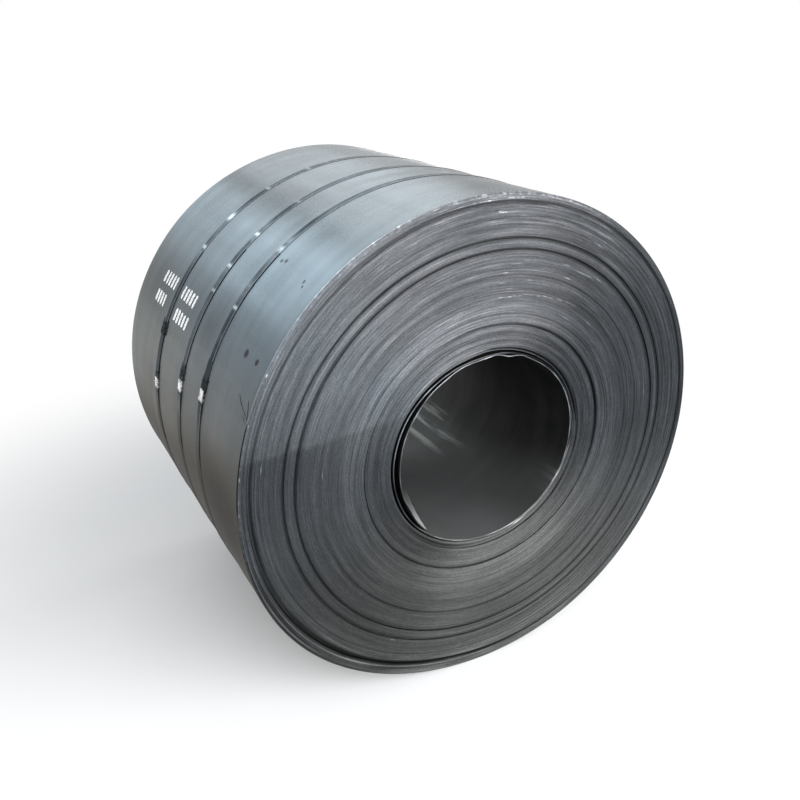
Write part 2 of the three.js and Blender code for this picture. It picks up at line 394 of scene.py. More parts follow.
def belly_steel():
    """Blue-grey mill scale on the outside of the outer turn."""
    n = Nodes("belly_steel")
    centred = n.from_axis()
    right, along, up = n.split(centred)
    rolled = n.stretched_noise(centred, (1.0, 8.0, 1.0), 2.2, 8.0, 0.62)
    axial = n.stretched_noise(centred, (9.0, 0.5, 9.0), 1.6, 5.0, 0.55)
    patches = n.noise(centred, 3.2, 7.0, 0.6)
    speck = n.noise(centred, 190.0, 4.0, 0.65)
    mixed = n.times_plus(rolled, 0.4, n.times(axial, 0.25))
    mixed = n.times_plus(patches, 0.35, mixed)
    mixed = n.times_plus(speck, 0.16, n.math("SUBTRACT", mixed, 0.08))
    colour = n.mix(n.ramp(mixed, 0.36, 0.66), (0.098, 0.117, 0.130), (0.148, 0.172, 0.188))
    # Darker and rougher low down, reaching less far up towards the rear and darker on the left: dust, and
    # in part painted shade.
    low = n.times_plus(along, 0.15, up)
    low = n.times_plus(patches, 0.16, n.math("SUBTRACT", low, 0.08))
    low_down = n.ramp(low, 0.27, -0.1, 0.0, 0.95)
    dust_and_shade = n.mix(n.ramp(right, -0.2, 0.3), (0.054, 0.048, 0.040), (0.090, 0.086, 0.078))
    colour = n.mix(low_down, colour, dust_and_shade)
    ragged = n.times_plus(n.noise(centred, 120.0, 2.0), 0.008, -0.004)
    spotted = None
    for angle, depth, size in SPOTS:
        away = n.vector("DISTANCE", centred, belly_point(angle, depth))
        spot = n.ramp(n.math("ADD", away, ragged), size, size * 0.65)
        spotted = spot if spotted is None else n.math("MAXIMUM", spotted, spot)
    colour = n.mix(n.times(spotted, 0.93), colour, (0.010, 0.012, 0.014))
    # Bluer high on the flank, warmer low down towards the rear: painted reflections of bluish light above
    # and a brown floor below.
    high = n.times(n.ramp(up, 0.24, 0.40), n.ramp(up, 0.70, 0.56))
    rearward = n.times_plus(along, -0.35, up)
    colour = n.tinted(colour, n.mix(high, WHITE, (0.92, 1.01, 1.07)))
    colour = n.tinted(colour, n.mix(n.ramp(rearward, 0.39, 0.10), WHITE, (1.0, 0.95, 0.85)))
    flank = n.times(high, n.ramp(along, -0.3, 0.0))
    colour = n.with_tone(n.scale(colour, n.times_plus(flank, -0.1, 1.0)))
    rough = n.times_plus(patches, 0.14, n.times_plus(speck, 0.1, 0.16))
    rough = n.times_plus(low_down, 0.22, rough)
    normal = n.bump(rolled, 0.12, 0.002)
    normal = n.bump(speck, 0.12, 0.0005, normal)
    n.set(Base_Color=colour, Metallic=0.94, Roughness=rough, Normal=normal)
    n.set(Specular_Tint=(0.8, 0.8, 0.8, 1.0))
    n.grain_round_axis(0.35)
    return n.material


def bore_steel():
    """The inside of the sprung turns: dark scale, with painted pale streaks of light along the axis, and
    dust below.
    """
    n = Nodes("bore_steel")
    centred = n.from_axis()
    direction = n.vector("NORMALIZE", n.vector("MULTIPLY", centred, (1, 0, 1)))
    _, along, up = n.split(centred)
    rolled = n.stretched_noise(centred, (1.5, 7.0, 1.5), 2.5, 7.0, 0.6)
    patches = n.noise(centred, 6.0, 6.0, 0.6)
    speck = n.noise(centred, 220.0, 3.0, 0.6)
    drawn = n.stretched_noise(centred, (14.0, 1.1, 14.0), 1.6, 4.0, 0.55)
    mixed = n.times_plus(rolled, 0.5, n.times(patches, 0.5))
    mixed = n.times_plus(speck, 0.15, n.math("SUBTRACT", mixed, 0.075))
    colour = n.mix(n.ramp(mixed, 0.34, 0.68), (0.0135, 0.0145, 0.0140), (0.032, 0.0335, 0.0315))
    # Pale streaks low on the right, deep inside: painted light, drawn out along the axis.
    rightward = n.vector("DOT_PRODUCT", direction, (0.60, 0.0, -0.80))
    light_streaks = n.times(n.ramp(along, -0.2, 0.05), n.ramp(rightward, 0.93, 0.985))
    light_streaks = n.times(light_streaks, n.ramp(drawn, 0.5, 0.62))
    colour = n.mix(n.times(light_streaks, 0.4), colour, (0.30, 0.32, 0.30))
    low = n.times_plus(along, 0.25, n.times_plus(patches, 0.1, up))
    low_down = n.ramp(low, -0.14, -0.38, 0.0, 0.9)
    colour = n.with_tone(n.mix(low_down, colour, (0.078, 0.079, 0.080)))
    metallic = n.times_plus(low_down, -0.8, 0.85)
    rough = n.times_plus(low_down, 0.2, n.times_plus(patches, 0.2, 0.32))
    normal = n.bump(rolled, 0.15, 0.002)
    normal = n.bump(speck, 0.15, 0.0004, normal)
    n.set(Base_Color=colour, Metallic=metallic, Roughness=rough, Normal=normal)
    n.grain_round_axis(0.3)
    return n.material


def strap_steel():
    """Waxed black strapping steel, worn paler in places and painted with bright glints."""
    n = Nodes("strap_steel")
    centred = n.from_axis()
    rolled = n.stretched_noise(centred, (2.0, 60.0, 2.0), 2.0, 5.0, 0.6)
    patches = n.noise(centred, 14.0, 5.0, 0.6)
    scuffs = n.noise(centred, 90.0, 4.0, 0.65)
    mixed = n.times_plus(rolled, 0.55, n.times(patches, 0.45))
    black = n.mix(n.ramp(mixed, 0.35, 0.65), (0.011, 0.0135, 0.016), (0.030, 0.037, 0.042))
    # Its tone lightens it: wear, painted glints and painted reflection.
    wear_and_glints = n.times(n.tone(), n.ramp(scuffs, 0.25, 0.6, 0.5, 1.1))
    colour = n.mix(wear_and_glints, black, (0.58, 0.63, 0.67))
    # Low down it takes a dull colour like the belly's: dust, and in part painted shade.
    _, _, up = n.split(centred)
    low_down = n.ramp(up, 0.12, -0.03, 0.0, 0.95)
    colour = n.mix(low_down, colour, (0.047, 0.042, 0.035))
    rough = n.times_plus(low_down, 0.32, n.times_plus(patches, 0.12, 0.14))
    normal = n.bump(scuffs, 0.2, 0.0004)
    n.set(Base_Color=colour, Metallic=0.9, Roughness=rough, Normal=normal)
    n.set(Specular_Tint=(0.52, 0.55, 0.57, 1.0))
    return n.material


def seal_steel():
    """Bright zinc-plated sheet, scuffed by the crimping tool."""
    n = Nodes("seal_steel")
    centred = n.from_axis()
    scuffs = n.stretched_noise(centred, (20.0, 90.0, 20.0), 2.0, 5.0, 0.6)
    speck = n.noise(centred, 420.0, 4.0, 0.6)
    torn = n.noise(centred, 75.0, 4.0, 0.6)
    colour = n.mix(n.ramp(scuffs, 0.38, 0.52), (0.14, 0.14, 0.14), (0.84, 0.85, 0.84))
    colour = n.with_tone(n.mix(n.ramp(torn, 0.37, 0.45), (0.05, 0.05, 0.05), colour))
    rough, normal = n.times_plus(scuffs, 0.25, 0.2), n.bump(speck, 0.3, 0.0005)
    n.set(Base_Color=colour, Metallic=0.85, Roughness=rough, Normal=normal)
    return n.material


def marking_paint():
    """Worn white paint."""
    n = Nodes("marking_paint")
    worn = n.noise(n.position(), 160.0, 4.0, 0.6)
    colour = n.mix(n.ramp(worn, 0.35, 0.5), (0.42, 0.43, 0.43), (0.84, 0.85, 0.85))
    n.set(Base_Color=colour, Roughness=0.62, Normal=n.bump(worn, 0.3, 0.0003))
    return n.material


EDGE_STEEL = edge_steel()
BELLY_STEEL = belly_steel()
BORE_STEEL = bore_steel()
STRAP_STEEL = strap_steel()
SEAL_STEEL = seal_steel()
PAINT = marking_paint()

# ---- The ends of the wound turns ----------------------------------------------------

# How far the turns stand out of the front end, in millimetres, by share of the wall from
# the bore. The same turns are set into the rear end by as much.
PROUD = np.array(
    [
        (0.0, -13.0), (0.034, -12.5), (0.036, -7.0), (0.09, -4.5), (0.150, -6.0), (0.171, -6.0),
        (0.1715, -9.0), (0.185, -9.0), (0.1855, 1.0), (0.25, 2.5), (0.35, 3.6), (0.497, 4.2),
        (0.4975, 2.0), (0.504, 2.0), (0.5045, 4.0), (0.649, 4.0), (0.650, -5.0), (0.664, -5.0),
        (0.665, 2.6), (0.723, 2.8), (0.724, -5.0), (0.738, -5.0), (0.739, 0.8), (0.82, 1.6),
        (0.926, 1.0), (0.927, -2.5), (0.945, -2.5), (0.946, -1.0), (1.0, -1.2),
    ]
)  # fmt: skip
# Where a ring of them stands further out or lies deeper: its shares of the wall, how many
# millimetres more at its middle angle, that angle and its reach.
PROUD_ARCS = [
    (0.649, 0.665, 2.2, 120, 40),
    (0.723, 0.739, 2.2, 120, 40),
    (0.9265, 0.9455, -3.5, 246, 46),
    (0.171, 0.1855, 5.5, 312, 48),
]
turn_jitter = wave_noise(11, 60, 0.11, 0.48)
edge_wave = wave_noise(12, 30, 1.5, 9.0)
edge_tremble = wave_noise(13, 24, 14.0, 40.0)

# Rings darker or lighter than the steel round them, partly their own tone and partly painted shade in the
# grooves and painted light on turns that stand out: share of the outer radius, reach on either side as
# such a share, and the natural log of how much. Nearly all the shares are peaks that a program found in
# the photo's mean brightness along the radius.
RINGS = [
    (0.410, 0.004, -0.3), (0.426, 0.005, 0.45), (0.444, 0.004, 0.25), (0.454, 0.004, -0.35),
    (0.464, 0.004, 0.2), (0.475, 0.003, -0.3), (0.486, 0.003, -0.3), (0.501, 0.006, 0.35),
    (0.521, 0.006, -0.75), (0.535, 0.006, 0.15), (0.563, 0.004, -0.3), (0.577, 0.006, 0.2),
    (0.660, 0.004, -0.25), (0.688, 0.006, 0.2), (0.712, 0.003, -0.4), (0.728, 0.005, 0.2),
    (0.763, 0.003, 0.25), (0.778, 0.004, 0.2), (0.797, 0.0055, -1.25), (0.822, 0.006, 0.35),
    (0.840, 0.0055, -1.25), (0.862, 0.004, 0.15), (0.882, 0.003, -0.25), (0.904, 0.005, 0.25),
    (0.928, 0.004, 0.25), (0.944, 0.004, 0.25),
]  # fmt: skip
# Rings that don't run all the way round, many of them painted light and shade: the broad ones lighten the
# end where its sheen catches the light and darken it where it lies in shade, and the narrow ones darken
# grooves and light up edges in some places. Share, reach and tone as above, then the angle of their
# middle and their reach in degrees.
ARCS = [
    (0.970, 0.008, -0.75, 0, 45), (0.964, 0.006, -1.0, 62, 40), (0.958, 0.004, -0.5, 150, 28),
    (0.958, 0.010, -0.5, 186, 16), (0.962, 0.006, -1.9, 236, 40),
    (0.967, 0.0035, -0.9, 103, 20), (0.962, 0.006, 0.3, 158, 14),
    (0.969, 0.0026, -2.4, 240, 38), (0.981, 0.004, 0.3, 70, 90), (0.990, 0.003, 0.35, 70, 90),
    (0.709, 0.003, -0.75, 255, 55), (0.424, 0.0045, -1.5, 240, 36),
    (0.409, 0.006, 0.4, 250, 40), (0.521, 0.0065, 0.6, 312, 44), (0.797, 0.0055, 0.5, 120, 38),
    (0.840, 0.0055, 0.5, 120, 38), (0.78, 0.15, -0.13, 265, 60), (0.46, 0.035, -0.2, 243, 13),
    (0.9945, 0.0035, -1.6, 212, 26), (0.9885, 0.0018, 0.4, 206, 16),
    (0.983, 0.003, -1.0, 204, 18), (0.900, 0.002, -0.5, 80, 14), (0.895, 0.0022, 0.55, 78, 12),
    (0.890, 0.003, -0.4, 78, 14), (0.979, 0.003, 0.6, 125, 3.0), (0.927, 0.004, 0.5, 112, 8.0),
    (0.80, 0.16, 0.18, 145, 30), (0.80, 0.16, -0.18, 215, 25), (0.80, 0.16, -0.15, 268, 18),
    (0.565, 0.035, 0.26, 120, 25), (0.565, 0.035, -0.33, 212, 25), (0.565, 0.035, -0.3, 28, 22),
    (0.565, 0.035, -0.22, 332, 15), (0.565, 0.035, 0.16, 300, 12), (0.46, 0.035, 0.2, 120, 25),
    (0.46, 0.035, -0.32, 205, 28), (0.46, 0.035, 0.06, 300, 22), (0.565, 0.035, -0.16, 151, 12),
    (0.565, 0.035, 0.1, 0, 20), (0.46, 0.035, -0.38, 334, 15), (0.46, 0.035, -0.17, 42, 25),
]  # fmt: skip
# Broad zones: share of the outer radius and the natural log of their tone.
ZONES = np.array(
    [(0.40, 0.0), (0.50, 0.0), (0.53, 0.3), (0.60, 0.3), (0.64, 0.0), (0.94, 0.0), (1.0, 0.1)]
)
turn_tone = wave_noise(15, 40, 0.28, 0.5)
arc_tone = wave_noise(16, 40, 1.2, 6.0)
short_tone = wave_noise(17, 40, 8.0, 30.0)


# Bright flecks where an edge is rubbed or bent, partly painted glints: share of the outer radius, angle,
# reach in degrees and natural log of the tone. The shares and angles of all but two are a program's
# output for places picked in the photo.
FLECKS = [
    (0.929, 89, 1.2, 1.5), (0.901, 91, 3.0, 0.9), (0.719, 87, 0.8, 1.7), (0.684, 88, 1.0, 1.4),
    (0.693, 78, 0.8, 1.2), (0.769, 66, 1.5, 1.4), (0.764, 60, 2.0, 1.4), (0.727, 64, 1.0, 1.6),
    (0.770, 57, 1.5, 1.3), (0.776, 53, 1.0, 1.2), (0.750, 93, 5.0, 0.9), (0.749, 83, 2.0, 0.9),
    (0.629, 46, 1.0, 1.1), (0.609, 112, 6.0, 0.9), (0.598, 104, 5.0, 0.8),
    (0.924, 171, 0.8, 1.6), (0.700, 174, 0.6, 2.0), (0.857, 240, 0.7, 1.6),
    (0.905, 262, 0.6, 1.3), (0.897, 263, 0.5, 1.1),
]  # fmt: skip
FLECK_TONE = 0.75
LOOSE_FLECKS = 170
RIM_DASHES = 110


def scattered_flecks():
    """More of them, small, strewn over the upper half of the end."""
    rng = np.random.default_rng(18)
    flecks = []
    for _ in range(LOOSE_FLECKS):
        share = rng.choice([rng.uniform(0.56, 0.79), rng.uniform(0.88, 0.99)])
        angle = rng.normal(92, 30)
        flecks.append((share, angle, rng.uniform(0.4, 3.0), rng.uniform(-0.8, 1.0)))
    return flecks


def dotted_row():
    """A row of small dents, painted bright as glints, that drifts inwards as it runs to the right."""
    rng = np.random.default_rng(14)
    angles = np.arange(88, 56, -2.6)
    shares = np.interp(angles, (57, 88), (0.648, 0.627))
    return [
        (share, angle + rng.normal(0, 0.4), 0.7, rng.uniform(0.9, 1.7))
        for share, angle in zip(shares, angles)
    ]


# Dents of the outermost turns, painted bright as glints: share of the outer radius, angle, strength.
RIM_DENTS = [(0.977, 84.2, 2.0), (0.977, 85.4, 1.6), (0.978, 86.6, 2.2), (0.978, 87.4, 2.2)]
RIM_DENTS += [(0.974, 92.4, 1.2), (0.974, 93.5, 0.9), (0.975, 94.4, 1.2), (0.974, 96.0, 1.0)]
RIM_DENTS += [(0.930, 88.6, 1.8), (0.932, 89.7, 1.8), (0.994, 161.8, 1.5), (0.994, 172.7, 2.0)]
RIM_DENTS += [(0.994, 180.5, 1.2), (0.994, 151.5, 2.5), (0.991, 147.5, 1.0)]


def rim_dashes():
    """Short bright dashes on the edges of the outermost turns, partly wear and partly painted glints."""
    rng = np.random.default_rng(24)
    dashes = []
    for _ in range(RIM_DASHES):
        share = 0.9975 - rng.exponential(0.005)
        dashes.append((share, rng.normal(98, 26), rng.uniform(0.2, 0.6), rng.uniform(0.1, 0.8)))
    return dashes + [(share, angle, 0.35, strength) for share, angle, strength in RIM_DENTS]


ALL_FLECKS = FLECKS + dotted_row() + scattered_flecks() + rim_dashes()


def tone_at(u, front):
    """The natural log of how light the edge of the strip is, u turns in, with painted light and shade in
    it. The rear end is plainer."""
    share = turn_radius(u) / OUTER_RADIUS
    angle = turn_angle(u)
    inner = 1 - smoothstep(share, 0.49, 0.53)
    off_rim = 1 - smoothstep(share, 0.91, 0.95)
    calm = 1.0
    for less, at, spread in ((0.45 + 0.35 * inner, 300, 60), (0.58, 184, 36), (0.35, 244, 32)):
        calm = calm * (1 - less * near_angle(angle, at, spread) * off_rim)
    tone = np.interp(share, ZONES[:, 0], ZONES[:, 1])
    for middle, reach, depth in RINGS:
        tone = tone + calm * depth * near(share, middle, reach)
    for middle, reach, depth, at, spread in ARCS:
        tone = tone + depth * near(share, middle, reach) * near_angle(angle, at, spread)
    # Painted shade and light by angle: darker towards the right, and on the inner turns lighter low down
    # and darker towards the right.
    tone = tone - 0.24 * (1 - inner) * near_angle(angle, 335, 50)
    tone = tone + inner * (0.22 * near_angle(angle, 275, 32) - 0.2 * near_angle(angle, 345, 30))
    strewn = 0.09 * turn_tone(u) + 0.07 * arc_tone(u) + 0.09 * short_tone(u)
    rim_side = (1 - off_rim) * near_angle(angle, 255, 50)
    crown_side = smoothstep(share, 0.77, 0.82) * near_angle(angle, 75, 45)
    tone = tone + (calm + 1.2 * rim_side) * strewn + 0.07 * crown_side * short_tone(u)
    if front:
        # A painted shadow on the left, with a hard upper edge.
        tone = tone + shadow_edge(share, angle)
        # Bright flecks, partly painted glints.
        for middle, at, reach, strength in ALL_FLECKS:
            on_turn = np.abs(share - middle) < 0.5 * STRIP / OUTER_RADIUS
            tone = tone + FLECK_TONE * strength * on_turn * near_angle(angle, at, reach)
    # Painted shade on the innermost turns, where they lie deeper.
    tone = tone - 1.3 * smoothstep(shrunk_at(u), 0.005, 0.012)
    # A painted highlight on the turn inside the outer turn's edge, on the left.
    tone = tone + 0.8 * painted_gap_line(angle) * smoothstep(share, 0.9925, 0.9945)
    # The rim's painted highlight and shade.
    return tone + rim_light_and_shade(angle) * smoothstep(share, 0.987, 0.995)


# Where the edge of a painted shadow starts, from the coil's axis, and how it slopes.
SHADOW_LEFT, SHADOW_HEIGHT, SHADOW_SLOPE = -0.73, 0.130, 0.07
SHADOW_REACH, SHADOW_BLUR, SHADOW_TONE = 0.1, 0.005, 0.19


def shadow_edge(share, angle):
    """A painted shadow on the left, with a hard upper edge; above it the end is painted a little lighter.
    """
    a = np.radians(angle)
    x, z = share * OUTER_RADIUS * np.cos(a), share * OUTER_RADIUS * np.sin(a)
    above = z - SHADOW_HEIGHT - SHADOW_SLOPE * (x - SHADOW_LEFT)
    reach = (1 - smoothstep(x, -0.38, -0.22)) * np.exp(-np.abs(above) / SHADOW_REACH)
    return SHADOW_TONE * np.tanh(above / SHADOW_BLUR) * reach


rim_chips = wave_noise(19, 90, 60.0, 330.0)
rim_wear = wave_noise(20, 20, 2.0, 9.0)


def painted_gap_line(angle):
    """Where the outer turn's edge looks to stand off the turn inside it, on the left: there a painted
    dark line runs along the edge and a painted highlight along the turn inside.
    """
    angle = np.asarray(angle, float) % 360
    return plateau(angle, 161, 163, 179, 181)


def rim_light_and_shade(angle):
    """The outermost edge: a painted highlight on the left and the crown, broken up by chips, and painted
    shade on the right.
    """
    around = np.asarray(angle, float) / 360
    worn = near_angle(angle, 95, 45) + 0.7 * near_angle(angle, 170, 50)
    chips = smoothstep(rim_chips(around) + 0.6 * rim_wear(around), 0.8, 1.7)
    return worn * (0.2 + 0.7 * chips) - 0.5 * near_angle(angle, 5, 60)


def turn_radius(u):
    """Outside radius of the strip, u turns in from its outer tail."""
    return OUTER_RADIUS - STRIP * np.asarray(u, float)


def turn_angle(u):
    """The angle of the strip, u turns in."""
    return OUTER_TAIL_ANGLE + 360.0 * (np.asarray(u, float) % 1.0)


def proud_at(u):
    """How far the strip stands out of the front end, u turns in."""
    u = np.asarray(u, float)
    share, angle = 1 - (u + 0.5) / TURNS, turn_angle(u)
    out = np.interp(share, PROUD[:, 0], PROUD[:, 1])
    for low, high, more, at, reach in PROUD_ARCS:
        out = out + more * ((share > low) & (share < high)) * near_angle(angle, at, reach)
    rough = 0.5 * turn_jitter(u) + 0.16 * edge_wave(u) + 0.07 * edge_tremble(u)
    rough = rough * (1 - 0.5 * near_angle(angle, 240, 45) * (share < 0.85))
    return np.clip((out + rough) * MM, SUNK_LIMIT, PROUD_LIMIT)


# Turns left to the innermost, and how many millimetres deeper they lie there.
SHRUNK = ([0, 0.98, 1.02, 1.98, 2.02, 3.98, 4.02], [16, 16, 5, 5, 14, 14, 0])


def shrunk_at(u):
    """How much deeper the innermost turns lie at the front, right of the crown: one laps
    the next, all but the second."""
    left = TURNS - np.asarray(u, float)
    off = np.abs(angle_off(turn_angle(u), 50))
    return MM * np.interp(left, *SHRUNK) * (1 - smoothstep(off, 28, 55))


CORNER = 0.00025
GROOVE = 0.0009


def wound_end(name, first, last, columns, front):
    """One end of the turns from first to last, as a closed ring that reaches to the
    middle of the coil. Each turn is a flat edge, with a fine groove before the next at the
    front."""
    turns = last - first
    count = turns * columns
    steps = np.arange(count + 1)
    u = first + steps / columns
    angle, radius, proud = turn_angle(u), turn_radius(u), proud_at(u)
    nearer = 1.0 if front else -1.0
    base = 0.0 if front else STRIP_WIDTH
    edge = base - proud
    next_edge = base - proud_at(u + 1)
    if front:
        edge = edge + shrunk_at(u)
        next_edge = next_edge + shrunk_at(u + 1)
    sunk = np.maximum(edge, next_edge) + GROOVE
    rows = [place(radius - CORNER, angle, edge, True)]
    if front:
        rows.append(place(radius - STRIP + CORNER, angle, edge, True))
    rows.append(place(radius - STRIP, angle, sunk if front else edge, True))
    kinds = len(rows)
    vertices = np.stack(rows, axis=1).reshape(-1, 3)
    tone = np.repeat(tone_at(u, front)[:, None], kinds, axis=1)
    if front:
        # Painted shade at the bottom of each groove, darker where the step down is deeper.
        tone[:, -1] -= 0.15 + 1.9 * smoothstep(np.abs(sunk - edge), 0.002, 0.012)
    tone = tone.ravel()
    # The outer wall's top and back, and the inner wall's back.
    lap = np.arange(columns + 1)
    top = place(radius[lap], angle[lap], edge[lap] + nearer * CORNER, True)
    middle = np.full(columns, MIDDLE_DEPTH)
    outer_back = place(radius[lap[:-1]], angle[lap[:-1]], middle, True)
    tail = (turns - 1) * columns + lap
    inner_back = place(radius[tail[:-1]] - STRIP, angle[tail[:-1]], middle, True)
    start_top = len(vertices)
    start_outer = start_top + len(top)
    start_inner = start_outer + len(outer_back)
    vertices = np.concatenate([vertices, top, outer_back, inner_back])

    def at(step, kind):
        return step * kinds + kind

    faces = []
    for i in range(count):
        for kind in range(kinds - 1):
            faces.append((at(i, kind), at(i + 1, kind), at(i + 1, kind + 1), at(i, kind + 1)))
        if i + columns < count:
            j = i + columns
            faces.append((at(i, kinds - 1), at(i + 1, kinds - 1), at(j + 1, 0), at(j, 0)))
    for i in range(columns):
        j = (i + 1) % columns
        faces.append((start_top + i, start_top + i + 1, at(i + 1, 0), at(i, 0)))
        faces.append((start_outer + i, start_outer + j, start_top + i + 1, start_top + i))
        a, b = at(tail[i], kinds - 1), at(tail[i + 1], kinds - 1)
        faces.append((a, b, start_inner + j, start_inner + i))
        faces.append((start_inner + i, start_inner + j, start_outer + j, start_outer + i))
    seam = [at(0, kind) for kind in range(kinds)]
    faces.append((start_outer, start_top, *seam, at(columns, 0), start_top + columns))
    ends = [at(count, kind) for kind in range(kinds)]
    faces.append((at(count - columns, kinds - 1), *ends, start_inner))
    tone = np.concatenate([tone, np.zeros(len(vertices) - len(tone))])
    piece = mesh_piece(name, vertices, faces, EDGE_STEEL, tone=tone)
    face_outward(piece)
    return piece


FIRST_RING, RIM_RING, SECOND_RING = 1, 13, 73
RIM_COLUMNS = 1080
# Name, first and last turn, steps in a turn, and whether it is the front, with grooves.
WOUND_ENDS = [
    ("turns_front_rim", FIRST_RING, RIM_RING, RIM_COLUMNS, True),
    ("turns_front_outer", RIM_RING, SECOND_RING, 480, True),
    ("turns_front_inner", SECOND_RING, TURNS, 360, True),
    ("turns_rear_outer", FIRST_RING, SECOND_RING, 240, False),
    ("turns_rear_inner", SECOND_RING, TURNS, 240, False),
]
for wound in WOUND_ENDS:
    piece = wound_end(*wound)
    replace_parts(piece, "coil")

# ---- The outer turn -----------------------------------------------------------------

STRAP_WIDTH = 0.032
STRAPS = {"front": (0.339, 165.0), "middle": (0.536, 168.0), "rear": (0.793, 174.0)}
dent_round = wave_noise(21, 16, 2.0, 9.0)
dent_along = wave_noise(22, 12, 0.5, 2.2)
dent_mixed = wave_noise(23, 12, 0.8, 3.0)


def away_from_straps(depth):
    """0 under the straps, 1 well away from them."""
    clear = np.ones_like(depth)
    for middle, _ in STRAPS.values():
        clear = clear * smoothstep(np.abs(depth - middle), 0.02, 0.09)
    return clear


def dent_at(u, depth):
    """How far the outer turn lies in, in metres: it is a little wavy between the straps."""
    wave = dent_round(u + 0.15 * dent_mixed(depth)) + dent_along(depth + 0.2 * u)
    off_rim = smoothstep(depth, 0.0, 0.06)
    return MM * off_rim * away_from_straps(depth) * (1 + np.tanh(0.6 * wave))


# Soft patches darker or lighter on it, partly scale and partly painted highlights and painted shade:
# angle, depth, reach in degrees, reach along the coil and the natural log of how much.
SCALE_AND_LIGHT_PATCHES = [
    (115.0, 0.57, 3.2, 0.20, -0.28), (140.5, 0.37, 3.2, 0.36, 0.32),
    (152.5, 0.45, 4.5, 0.07, -0.34), (154.0, 0.98, 7.0, 0.18, -0.56),
    (98.0, 0.60, 5.0, 0.50, 0.34), (105.0, 0.25, 3.0, 0.25, 0.14),
    (170.0, 0.19, 6.0, 0.12, 0.36), (181.0, 0.80, 7.0, 0.26, 0.40),
    (191.0, 0.55, 5.0, 0.20, 0.10), (186.0, 0.15, 9.0, 0.15, -0.85),
    (128.5, 0.66, 2.2, 0.055, 0.20), (129.5, 0.43, 2.2, 0.045, 0.16),
    (123.0, 0.90, 2.5, 0.050, 0.14), (111.0, 0.62, 2.0, 0.060, 0.12),
    (121.5, 0.20, 3.0, 0.080, -0.08), (117.0, 0.64, 6.5, 0.24, -0.19),
    (95.0, 0.95, 3.5, 0.25, 0.22), (124.0, 0.70, 3.0, 0.12, -0.12),
]  # fmt: skip


def scale_and_light_at(angle, depth):
    """The tone of these patches at a place."""
    total = np.zeros(np.broadcast(angle, depth).shape)
    for at, middle, reach, along, tone in SCALE_AND_LIGHT_PATCHES:
        total += tone * near_angle(angle, at, reach) * near(depth, middle, along)
    return total


def outer_turn():
    """The whole outer turn: its outside, its inner side and its cut edges."""
    u = np.linspace(0, 1, RIM_COLUMNS + 1)
    angle = OUTER_TAIL_ANGLE + 360.0 * u
    proud = proud_at(u)
    bevel = 0.0005
    inside = np.linspace(0.012, STRIP_WIDTH - 0.012, 42)
    back_edge = [STRIP_WIDTH - 0.005, STRIP_WIDTH - bevel, STRIP_WIDTH]
    depths = np.array([0, bevel, 0.003, *inside, *back_edge])
    rows = len(depths)
    depth = depths[None, :] - proud[:, None]
    radius = turn_radius(u)[:, None] - dent_at(u[:, None], depth)
    radius[:, [0, -1]] -= bevel
    outside = place(radius, angle[:, None], depth)
    # Its inner side, hidden against the next turn, takes three rows.
    hidden_depth = depths[None, [-1, rows // 2, 0]] - proud[:, None]
    hidden = place((turn_radius(u) - STRIP + 0.0001)[:, None], angle[:, None], hidden_depth)
    sections = np.concatenate([outside, hidden], axis=1)
    vertices, faces = swept_band(sections)
    tone = np.zeros(sections.shape[:2])
    # Patches of scale and of painted highlight and shade.
    tone[:, :rows] = scale_and_light_at(angle[:, None], depth)
    # The cut edges take the rim's painted highlight and shade.
    tone[:, [0, 1, -1]] = rim_light_and_shade(angle)[:, None]
    # Painted highlight at the crown and painted shade low on the left, on the front edge.
    bent = 1.3 * near_angle(angle, 122, 26) - 1.5 * near_angle(angle, 212, 28)
    # A painted dark line along the outer turn's front edge, on the left.
    tone[:, [0, 1]] += (bent - 2.4 * painted_gap_line(angle))[:, None]
    piece = mesh_piece("outer_turn", vertices, faces, BELLY_STEEL, smooth=True, tone=tone.ravel())
    face_outward(piece)
    loop = sections.shape[1]
    bare_edges(piece, {0, rows - 2, rows - 1, loop - 1}, loop, len(u))
    return piece


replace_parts(outer_turn(), "coil")

# ---- The sprung innermost turns -----------------------------------------------------

# Angle travelled clockwise from the free end, and the gap outside the strip there in
# millimetres.
SPRUNG = np.array(
    [
        (0, 14), (25, 26), (50, 29), (75, 26.5), (100, 20), (120, 13.5), (145, 9.5), (165, 7),
        (190, 5), (225, 6.8), (250, 5.2), (285, 3.2), (320, 4.8), (360, 6.5), (400, 8), (440, 9),
        (485, 8.6), (505, 3.2), (520, 1.5), (550, 1), (620, 1), (660, -3.3),
    ]
)  # fmt: skip


def sprung_gap(travel):
    """The gap outside the sprung strip, eased between its stations, in metres."""
    i = np.clip(np.searchsorted(SPRUNG[:, 0], travel, side="left"), 1, len(SPRUNG) - 1)
    a, b = SPRUNG[i - 1], SPRUNG[i]
    share = smoothstep((travel - a[:, 0]) / (b[:, 0] - a[:, 0]), 0, 1)
    return (a[:, 1] + (b[:, 1] - a[:, 1]) * share) * MM


sprung_edge = wave_noise(31, 20, 0.004, 0.03)
edge_gleam = wave_noise(32, 30, 0.01, 0.08)
SPRUNG_PROUD = -0.013
SPRUNG_STEP = 1.5
# Where the bright front edge is dull: travel, reach and how much.
DULL = [(537, 45, 2.4), (5, 38, 1.5), (388, 28, 1.3)]
# The free end is cut on the skew: how far round it reaches past its angle in degrees, at
# the front and more at a depth.
TAIL_REACH, TAIL_SKEW, TAIL_SKEW_DEPTH = 2.5, 25.0, 0.32


# The bent front edge of the innermost turn, near its crown: where each bend is, its reach
# in degrees and how far out it goes in millimetres.
BUCKLES = [(157.5, 3.2, 3.0), (148.0, 3.6, -3.8), (139.0, 3.4, 2.4), (128.0, 5.0, -1.2)]


def buckle_at(travel, depth):
    """How far the bent front edge goes out, in metres."""
    bent = sum(out * near(travel, at, reach) for at, reach, out in BUCKLES)
    return MM * bent * (1 - smoothstep(depth, 0.0, 0.09))


